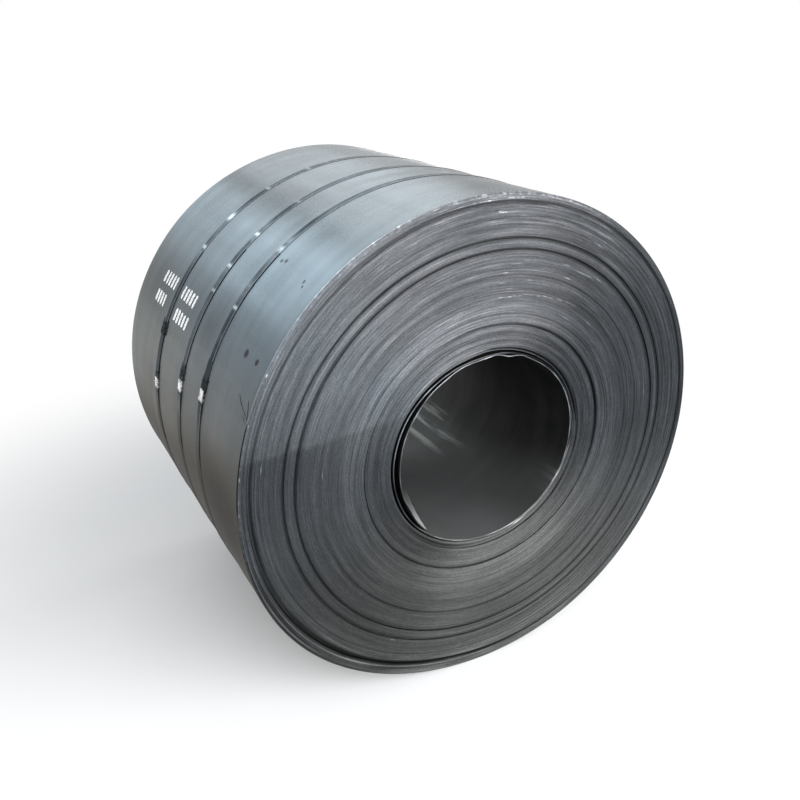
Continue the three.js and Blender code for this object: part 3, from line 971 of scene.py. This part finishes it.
def sprung_turns():
    """The innermost turn and three quarters, sprung off the rest and bent at the front."""
    travel = np.arange(0, SPRUNG[-1, 0] + 1, SPRUNG_STEP)
    angle = INNER_TAIL_ANGLE - travel
    radius = BORE_RADIUS - sprung_gap(travel)
    bevel = 0.0004
    front_rows = [0, bevel, 0.004, 0.012, 0.025, 0.045, 0.07, 0.1]
    far_rows = [*np.linspace(0.16, STRIP_WIDTH - 0.06, 16), STRIP_WIDTH - bevel, STRIP_WIDTH]
    depths = np.array(front_rows + far_rows)
    edge = 0.0006 * sprung_edge(travel)
    depth = depths[None, :] - SPRUNG_PROUD + edge[:, None]
    depth = np.minimum(depth, STRIP_WIDTH - SPRUNG_PROUD)
    bend = buckle_at(travel[:, None], depths[None, :])
    inside = radius[:, None] - STRIP + bend
    outside = radius[:, None] + bend
    for wall, sign in ((inside, 1), (outside, -1)):
        wall[:, 0] += sign * bevel
        wall[:, -1] += sign * bevel
    skew = np.interp(depths, (0, TAIL_SKEW_DEPTH), (TAIL_REACH, TAIL_REACH + TAIL_SKEW))
    skewed = angle[:, None] + np.outer(1 - smoothstep(travel, 0, 70), skew)
    inner = place(inside, skewed, depth)
    outer = place(outside, skewed, depth)
    sections = np.concatenate([inner, outer[:, ::-1]], axis=1)
    vertices, faces = swept_band(sections)
    tone = np.zeros(sections.shape[:2])
    gleam = 0.8 + 0.4 * edge_gleam(travel)
    for at, reach, less in DULL:
        gleam = gleam - less * near(travel, at, reach)
    tone[:, [0, 1, -1, -2]] = gleam[:, None]
    scuffed = 0.6 * near_angle(angle, 329, 10) * (1 + 0.8 * edge_gleam(3 * travel))
    tone[:, 1 : len(front_rows)] += np.outer(scuffed, np.linspace(1, 0, len(front_rows) - 1))
    shaded = 0.85 * near_angle(angle, 308, 19)
    tone[:, 2 : len(depths)] -= np.outer(shaded, 1 - smoothstep(depths[2:], 0.06, 0.32))
    lit_tail = 2.0 * (1 - smoothstep(travel, 4, 32))
    tone[:, 1 : len(depths)] += np.outer(lit_tail, 1 - smoothstep(depths[1:], 0.05, 0.4))
    # Painted shadow of the free end on the turn behind it.
    tail_shadow = smoothstep(skew + travel[:, None] - 360, 0, 2)
    tail_shadow = tail_shadow * (1 - smoothstep(travel, 388, 410))[:, None]
    tone[:, 2 : len(depths)] -= 3.0 * tail_shadow[:, 2:]
    piece = mesh_piece("inner_turns", vertices, faces, BORE_STEEL, smooth=True, tone=tone.ravel())
    face_outward(piece)
    rows, loop = len(depths), sections.shape[1]
    bare_edges(piece, {0, rows - 2, rows - 1, rows, loop - 2, loop - 1}, loop, len(travel))
    return piece


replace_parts(sprung_turns(), "coil")

# ---- Straps and seals ---------------------------------------------------------------

FACET = 3.0
STRAP_THICKNESS = 0.0009
STRAP_LIFT = 0.00045
CLEARANCE = 0.0003
# Half the width of a strap's middle, where its finish wears.
STRAP_CORE = 0.0092
SEAL_SHEET = 0.001
SEAL_LENGTH = 0.036
LAP_BELOW_SEAL, LAP_ABOVE_SEAL = 3, 12


def facet_middle(angle):
    """The middle of the strap's facet nearest to an angle."""
    return 270 + round((angle - 270) / FACET) * FACET


def outer_turn_radius(angle):
    """The outside radius of the outer turn, which falls by one strip in a lap."""
    return OUTER_RADIUS - STRIP * ((np.asarray(angle, float) - OUTER_TAIL_ANGLE - 1) % 360) / 360


def strap_standoff(travel):
    """How far the strap stands off: over the seal's sheet, and over itself where it laps."""
    seal_at = FACET * (LAP_BELOW_SEAL + 0.5)
    off_seal = np.minimum(np.abs(travel - seal_at), np.abs(travel - 360 - seal_at))
    over_sheet = (SEAL_SHEET + CLEARANCE) * (1 - smoothstep(off_seal, FACET, 2 * FACET))
    over_lap = (STRAP_THICKNESS + CLEARANCE) * smoothstep(travel, 354, 357)
    return STRAP_LIFT + over_sheet + over_lap


# How light the straps' black finish is by angle, from 0 to 1: partly wear, partly painted reflection
# where a strap catches the same light as the belly. Along their sides it is gone.
WEAR_AND_SHEEN = np.array(
    [
        (0, 0.05), (60, 0.10), (92, 0.15), (103, 0.14), (106, 0.03), (112, 0.01), (116, 0.05),
        (120, 0.02), (124, 0.005), (127.5, 0.14), (132, 0.12), (136, 0.025), (139.5, 0.16),
        (144, 0.07), (148, 0.03), (152, 0.05), (156, 0.02), (159, 0.0), (170, 0.0), (174, 0.08),
        (178, 0.14), (184, 0.10), (200, 0.05), (360, 0.03),
    ]
)  # fmt: skip
# Painted glints of the lamps on each strap: angle, reach and how much. The angles are a program's output
# for places picked in the photo.
STRAP_GLINTS = {
    "front": [(145.0, 0.35, 0.8), (129.5, 0.9, 0.45)],
    "middle": [(145.0, 0.3, 0.7), (138.5, 0.45, 0.9), (129.2, 0.45, 0.9), (117.2, 0.4, 0.3)],
    "rear": [(138.2, 0.45, 1.0), (128.5, 1.15, 1.0), (117.0, 0.45, 0.5), (105.5, 0.5, 0.5),
             (100.2, 0.4, 0.45)],
}  # fmt: skip
# The sides of a strap's profile where the finish is gone and it looks like the belly.
BARE_SIDES = (6, 11)
# Each strap is black and unworn from this angle down to its seal.
LAP_ENDS = {"front": 157.5, "middle": 163.0, "rear": 159.0}
# How much more each strap is worn between about 146 and 174 degrees.
FADED = {"front": 0.0, "middle": 0.11, "rear": 0.0}


def strap(name, middle, seal_angle, seed):
    """One strap: a band round the coil whose end laps over its start, through the seal."""
    start = facet_middle(seal_angle) + FACET * (LAP_BELOW_SEAL + 0.5)
    travel = np.arange(0, 360 + FACET * (LAP_BELOW_SEAL + LAP_ABOVE_SEAL) + 0.1, FACET / 8)
    angle = start - travel
    stray = wave_noise(seed, 10, 0.004, 0.02)
    half, edge = STRAP_WIDTH / 2, 0.0003
    lift = outer_turn_radius(angle) + strap_standoff(travel) - edge
    core, top = STRAP_CORE, STRAP_THICKNESS
    profile = [
        (-half, edge), (-half + edge, 0), (0, 0), (half - edge, 0), (half, edge),
        (half, top - edge), (half - edge, top), (core + 0.002, top), (core, top), (0, top),
        (-core, top), (-core - 0.002, top), (-half + edge, top), (-half, top - edge),
    ]  # fmt: skip
    across, up = np.array(profile).T
    depth = middle + 0.0005 * stray(travel)[:, None] + across[None, :]
    vertices, faces = swept_band(place(lift[:, None] + up[None, :], angle[:, None], depth))
    at = angle % 360
    end, seal_at = LAP_ENDS[name], facet_middle(seal_angle)
    lap = plateau(at, end - 0.4, end + 0.4, seal_at + 1, seal_at + 3.5)
    # Wear and painted reflection, by angle.
    worn = np.interp(at, WEAR_AND_SHEEN[:, 0], WEAR_AND_SHEEN[:, 1])
    worn = worn * (1 + 0.3 * wave_noise(seed + 3, 24, 0.05, 0.4)(travel))
    worn = worn + FADED[name] * plateau(at, 144, 148, 172, 176)
    tone = (1 - lap)[:, None] * (worn[:, None] * (np.abs(across) <= core))
    # Painted glints.
    for glint_at, reach, share in STRAP_GLINTS[name]:
        tone = np.maximum(tone, share * near_angle(angle, glint_at, reach)[:, None])
    tone = np.where((up >= top - edge) & (np.abs(across) < half), tone, 0).ravel()
    piece = mesh_piece(f"strap_{name}_band", vertices, faces, STRAP_STEEL, tone=tone)
    face_outward(piece)
    piece.data.materials.append(BELLY_STEEL)
    for polygon in piece.data.polygons:
        station, side = divmod(polygon.index, len(profile))
        if side in BARE_SIDES and station < len(travel) - 1 and lap[station] < 0.5:
            polygon.material_index = 1
    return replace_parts(piece, f"strap_{name}")


def rounded_loop(width, bottom, top, corner, arc=4, across=10):
    """A rounded rectangle, width across and from bottom to top, as a closed loop. Its
    bottom and top are split into as many steps as across."""
    reach = width / 2 - corner
    flat = np.linspace(-1, 1, across + 1)[1:-1] * reach
    # The straight run, if any, that follows each corner.
    split_top = [(x, top) for x in -flat]
    split_bottom = [(x, bottom) for x in flat]
    loop = []
    for cx, cy, start, run in (
        (reach, bottom + corner, 270, []),
        (reach, top - corner, 0, split_top),
        (-reach, top - corner, 90, []),
        (-reach, bottom + corner, 180, split_bottom),
    ):
        for i in range(arc + 1):
            a = math.radians(start + 90 * i / arc)
            loop.append((cx + corner * math.cos(a), cy + corner * math.sin(a)))
        loop += run
    return np.array(loop)


# The two crimps pressed across a seal: how far they lie from its middle and their reach.
CRIMP_AT, CRIMP_REACH = 0.0062, 0.0026
SEAL_STATIONS = 37
SCUFF_AND_SHADE_TONE = -2.2


def seal(name, middle, seal_angle, seed):
    """A crimped sleeve of sheet steel round both layers of a strap."""
    crease = wave_noise(seed, 12, 0.8, 4.0)
    angle = facet_middle(seal_angle)
    flat = float(outer_turn_radius(angle)) * math.cos(math.radians(FACET / 2))
    hole_bottom = CLEARANCE + SEAL_SHEET
    hole_top = hole_bottom + 2 * STRAP_THICKNESS + 4 * CLEARANCE
    hole_width = STRAP_WIDTH + 2 * CLEARANCE
    top = hole_top + SEAL_SHEET
    stations = np.linspace(-SEAL_LENGTH / 2, SEAL_LENGTH / 2, SEAL_STATIONS)
    outer = rounded_loop(hole_width + 2 * SEAL_SHEET, CLEARANCE, top, 0.0012)
    inner = rounded_loop(hole_width, hole_bottom, hole_top, 0.0003)
    outside = []
    for along in stations:
        crimp = sum(near(along, at, CRIMP_REACH) for at in (-CRIMP_AT, CRIMP_AT))
        flare = 0.0004 * smoothstep(abs(along), 0.014, 0.018)
        for across, up in outer:
            pinch = crimp * abs(across) / (hole_width / 2)
            is_top = up > (top + CLEARANCE) / 2
            creased = crease(across * 90 + along * 35) + crease(40 - across * 45 + along * 80)
            sink = 0.0004 * crimp + 0.00013 * (2 + math.tanh(creased)) if is_top else 0.0
            outside.append((across * (1 - 0.030 * pinch), along, up - sink - flare * 0.5))
    outside = np.array(outside).reshape(SEAL_STATIONS, len(outer), 3)
    across, along = outside[:, :, 0], outside[:, :, 1]
    ends = smoothstep(np.abs(along) + 0.0022 * crease(across * 130 + 3), 0.0145, 0.0178)
    sides = smoothstep(np.abs(across) + 0.0022 * crease(along * 120 + 7), 0.0138, 0.0172)
    inside = np.array([[(a, s, u) for a, u in inner] for s in stations])
    # The outer and the inner wall, and the ring that joins them at either mouth.
    outer_points, outer_faces = swept_band(outside, closed_ends=False)
    inner_points, inner_faces = swept_band(inside, closed_ends=False)
    count, loop = len(outer_points), len(outer)
    faces = []
    for outer_face, (a, b, c, d) in zip(outer_faces, inner_faces):
        faces += [outer_face, (count + a, count + d, count + c, count + b)]
    last = count - loop
    for j in range(loop):
        k = (j + 1) % loop
        faces.append((j, count + j, count + k, k))
        faces.append((last + j, last + k, count + last + k, count + last + j))
    # Across becomes depth, along runs round the coil, and up becomes the radius.
    local = np.concatenate([outer_points, inner_points])
    tilt = math.radians(angle)
    radial = np.array([math.cos(tilt), math.sin(tilt)])
    round_coil = np.array([-math.sin(tilt), math.cos(tilt)])
    x, z = (radial * (flat + local[:, 2:3]) + round_coil * local[:, 1:2]).T
    vertices = place(np.hypot(x, z), np.degrees(np.arctan2(z, x)) % 360, middle + local[:, 0])
    # The inner wall is dark all over, and the outer wall darkens towards its ends and sides: scuffs, and
    # painted shade.
    tone = np.full(len(vertices), SCUFF_AND_SHADE_TONE)
    tone[:count] *= np.maximum(ends, 0.8 * sides).ravel()
    piece = mesh_piece(
        f"seal_{name}_clip", vertices, faces, SEAL_STEEL, tone=tone
    )
    face_outward(piece)
    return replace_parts(piece, f"seal_{name}")


SCRAP_THICKNESS = 0.0008


def crumpled_scrap(name, first, last, middle, half, height, seed):
    """A crumpled end of black strapping round a strap's lap, from the first to the last
    angle, and half its width to either side of a depth."""
    crease = wave_noise(seed, 14, 0.25, 1.2)
    rows, columns = 13, 10
    layers = []
    for layer in (0.0, SCRAP_THICKNESS):
        for i, a in enumerate(np.linspace(first, last, rows)):
            for j, d in enumerate(np.linspace(-half, half, columns)):
                rim = min(i, rows - 1 - i, 3) / 3 * min(j, columns - 1 - j, 2) / 2
                lift = height * rim * (2.0 + 0.9 * math.tanh(crease(i + 1.7 * j)))
                radius = float(outer_turn_radius(a)) + 0.0004 + lift + layer
                ragged = 0.003 * crease(3 * i + 40) * (j - columns / 2) / columns
                layers.append(place(radius, a + 0.25 * crease(2 * j + 9), middle + d + ragged))
    faces = []
    count = rows * columns
    for i in range(rows - 1):
        for j in range(columns - 1):
            a = i * columns + j
            quad = (a, a + 1, a + columns + 1, a + columns)
            faces += [quad, tuple(count + v for v in quad[::-1])]
    border = list(range(columns))
    border += [i * columns + columns - 1 for i in range(1, rows)]
    border += [(rows - 1) * columns + j for j in range(columns - 2, -1, -1)]
    border += [i * columns for i in range(rows - 2, 0, -1)]
    for a, b in zip(border, border[1:] + border[:1]):
        faces.append((a, b, count + b, count + a))
    piece = mesh_piece(name, np.array(layers), faces, STRAP_STEEL)
    face_outward(piece)
    return piece


# The three at the seals are partly painted shadow: dark sheets round each seal's upper end, where shadow
# falls.
# Name, first and last angle, depth, half width and height.
SCRAPS = [
    ("strap_scrap_rear", 158.2, 162.0, 0.795, 0.028, 0.0018),
    ("strap_scrap_rear_seal", 170.6, 172.9, 0.793, 0.021, 0.0014),
    ("strap_scrap_middle_seal", 163.4, 166.9, 0.536, 0.022, 0.0014),
    ("strap_scrap_front_seal", 161.2, 163.9, 0.340, 0.024, 0.0014),
]
for number, scrap in enumerate(SCRAPS):
    crumpled_scrap(*scrap, 71 + number)
for number, (name, (middle, seal_angle)) in enumerate(STRAPS.items()):
    strap(name, middle, seal_angle, 41 + number)
    seal(name, middle, seal_angle, 61 + number)

# ---- Thin ribbons on the outer turn: painted strokes and a tear ----------------------

RIBBON_LAYERS = (0.00005, 0.0002)


def lay_ribbon(vertices, faces, angles, fronts, backs):
    """Adds a ribbon that runs round the coil through the angles, from a front to a back
    depth at each."""
    start, count = len(vertices), len(angles)
    for layer in RIBBON_LAYERS:
        for angle, front, back in zip(angles, fronts, backs):
            radius = float(outer_turn_radius(angle)) + layer
            vertices += [place(radius, angle, front), place(radius, angle, back)]
    over = 2 * count
    for i in range(count - 1):
        a, b = start + 2 * i, start + 2 * i + over
        faces += [(a, a + 1, a + 3, a + 2), (b + 2, b + 3, b + 1, b)]
        faces += [(a + side, a + side + 2, b + side + 2, b + side) for side in (0, 1)]
    for end in (start, start + over - 2):
        faces.append((end, end + 1, end + 1 + over, end + over))


# Generic marking, plain strokes: the angle of a row's middle and the strokes' depths.
STROKE_ROWS = [
    (149.6, [0.955, 0.925, 0.898, 0.868, 0.84]),
    (154.9, [0.965, 0.938, 0.91, 0.882]),
    (149.9, [0.742, 0.712, 0.684, 0.655, 0.625]),
    (155.4, [0.735, 0.708, 0.68, 0.652, 0.622]),
]


def marking():
    """Rows of painted strokes, narrower at both ends."""
    rng = np.random.default_rng(51)
    steps = np.linspace(-0.5, 0.5, 9)
    vertices, faces = [], []
    for row_angle, depths in STROKE_ROWS:
        for depth in depths:
            width = rng.uniform(0.014, 0.018)
            height = math.degrees(rng.uniform(0.038, 0.044) / OUTER_RADIUS)
            middle = depth + rng.uniform(0.001, 0.005) * steps
            half = width / 2 * np.where(np.abs(steps) == 0.5, 0.7, 1.0)
            lay_ribbon(vertices, faces, row_angle + steps * height, middle - half, middle + half)
    face_outward(mesh_piece("painted_strokes", np.array(vertices), faces, PAINT))


# Lines of the tear: angle, depth and half of its width at each point.
TEARS = [
    [(157.9, 0.096, 0.0006), (159.2, 0.068, 0.0020), (159.8, 0.048, 0.0014),
     (160.2, 0.032, 0.0024), (160.8, 0.010, 0.0012)],
    [(157.6, 0.034, 0.0006), (158.3, 0.026, 0.0018), (159.0, 0.019, 0.0022),
     (159.9, 0.013, 0.0020), (161.0, 0.008, 0.0008)],
    [(160.6, 0.044, 0.0005), (161.2, 0.030, 0.0018), (161.7, 0.012, 0.0008)],
]  # fmt: skip


def tears():
    """Thin black cracks in the outer turn's scale, near the front rim."""
    rng = np.random.default_rng(81)
    vertices, faces = [], []
    for line in TEARS:
        line = np.array(line)
        steps = np.linspace(0, len(line) - 1, 6 * (len(line) - 1) + 1)
        angle, depth, half = (np.interp(steps, range(len(line)), column) for column in line.T)
        angle = angle + rng.normal(0, 0.04, len(steps))
        half = half * rng.uniform(0.6, 1.4, len(steps))
        lay_ribbon(vertices, faces, angle, depth - half, depth + half)
    face_outward(mesh_piece("rim_tear", np.array(vertices), faces, STRAP_STEEL))


marking()
tears()

# ---- Floor, light and camera --------------------------------------------------------

WHITE_FROM_TO = (1.15, 2.6)
SOFT_LIGHT = 0.35
FLOOR_HALF, FLOOR_Z = 40.0, -0.0005


def seen_directly(nodes, links):
    """1 for a camera, glossy or transmission ray and 0 for light that falls on things."""
    path = nodes.new("ShaderNodeLightPath")
    total = path.outputs["Is Camera Ray"]
    for other in ("Is Glossy Ray", "Is Transmission Ray"):
        either = nodes.new("ShaderNodeMath")
        either.operation = "MAXIMUM"
        links.new(total, either.inputs[0])
        links.new(path.outputs[other], either.inputs[1])
        total = either.outputs[0]
    return total


def mix_shaders(nodes, links, share, low, high, target):
    """Feeds a target with two shaders mixed by a share."""
    mixer = nodes.new("ShaderNodeMixShader")
    for i, output in enumerate((share, low.outputs[0], high.outputs[0])):
        links.new(output, mixer.inputs[i])
    links.new(mixer.outputs[0], target.inputs[0])


def pale_floor():
    """A plain floor that keeps the coil's shadow and turns plain white away from it."""
    mesh = bpy.data.meshes.new("floor")
    corners = [(x * FLOOR_HALF, y * FLOOR_HALF, FLOOR_Z) for x, y in ((-1, -1), (1, -1), (1, 1), (-1, 1))]
    mesh.from_pydata(corners, [], [(0, 1, 2, 3)])
    n = Nodes("floor")
    position = n.position()
    colour = n.mix(n.noise(position, 6.0, 4.0, 0.5), (0.71, 0.71, 0.71), (0.73, 0.73, 0.73))
    n.set(Base_Color=colour, Roughness=0.9)
    nodes, links = n.tree.nodes, n.tree.links
    away = n.ramp(n.vector("LENGTH", position), *WHITE_FROM_TO)
    share = n.times(away, seen_directly(nodes, links))
    white = n.add("ShaderNodeEmission")
    mix_shaders(nodes, links, share, n.shader, white, nodes["Material Output"])
    mesh.materials.append(n.material)
    floor = bpy.data.objects.new("floor", mesh)
    bpy.context.scene.collection.objects.link(floor)


def white_world():
    """A white backdrop that lights things only softly."""
    world = bpy.data.worlds.new("world")
    bpy.context.scene.world = world
    world.use_nodes = True
    nodes, links = world.node_tree.nodes, world.node_tree.links
    nodes.clear()
    soft = nodes.new("ShaderNodeBackground")
    soft.inputs["Color"].default_value = (0.95, 0.97, 1.0, 1)
    soft.inputs["Strength"].default_value = SOFT_LIGHT
    seen = nodes.new("ShaderNodeBackground")
    seen.inputs["Color"].default_value = (1, 1, 1, 1)
    out = nodes.new("ShaderNodeOutputWorld")
    mix_shaders(nodes, links, seen_directly(nodes, links), soft, seen, out)


def softbox(name, at, width, height, radiance, colour):
    """A rectangular lamp that shines evenly with the given radiance, unseen by the camera."""
    data = bpy.data.lights.new(name, "AREA")
    data.shape = "RECTANGLE"
    data.size, data.size_y = width, height
    data.energy = radiance * math.pi * width * height
    data.color = colour
    lamp = bpy.data.objects.new(name, data)
    lamp.location = at
    direction = Vector(LAMPS_FACE) - Vector(at)
    lamp.rotation_euler = direction.to_track_quat("-Z", "Y").to_euler()
    lamp.visible_camera = False
    bpy.context.scene.collection.objects.link(lamp)


pale_floor()
white_world()
LAMPS_FACE = (0.0, 0.0, 0.9)
PALE_BLUE, PALER_BLUE, NEARLY_WHITE = (0.88, 0.96, 1.0), (0.91, 0.97, 1.0), (0.98, 0.99, 1.0)
# Name, place, width, height, radiance and colour.
LAMPS = [
    ("lamp_back_right", (2.1, 6.5, 5.1), 4.3, 2.4, 2.55, PALER_BLUE),
    ("lamp_back_left", (-2.15, 6.5, 5.1), 3.6, 2.8, 2.8, PALE_BLUE),
    ("lamp_back_low", (-2.6, 6.5, 3.0), 3.2, 1.2, 0.9, PALE_BLUE),
    ("lamp_front", (0.9, -3.8, 2.1), 6.0, 2.6, 7.8, NEARLY_WHITE),
    ("lamp_right", (5.0, 0.6, 2.3), 4.0, 3.0, 3.2, NEARLY_WHITE),
    ("lamp_rear", (1.6, 5.0, 0.75), 3.0, 1.2, 4.0, NEARLY_WHITE),
    ("lamp_front_left", (-3.6, -2.6, 1.6), 2.6, 2.6, 7.0, NEARLY_WHITE),
]
for lamp in LAMPS:
    softbox(*lamp)

CAMERA_AT = Vector((-1.2968, -2.4607, 1.8517))
CAMERA_FORWARD = Vector((0.4363, 0.8117, -0.3883))
camera_data = bpy.data.cameras.new("camera")
camera_data.sensor_width = 36.0
camera_data.lens = 39.39
camera = bpy.data.objects.new("camera", camera_data)
camera.location = CAMERA_AT
camera.rotation_euler = CAMERA_FORWARD.to_track_quat("-Z", "Y").to_euler()
bpy.context.scene.collection.objects.link(camera)
bpy.context.scene.camera = camera
bpy.context.scene.view_settings.view_transform = "Standard"
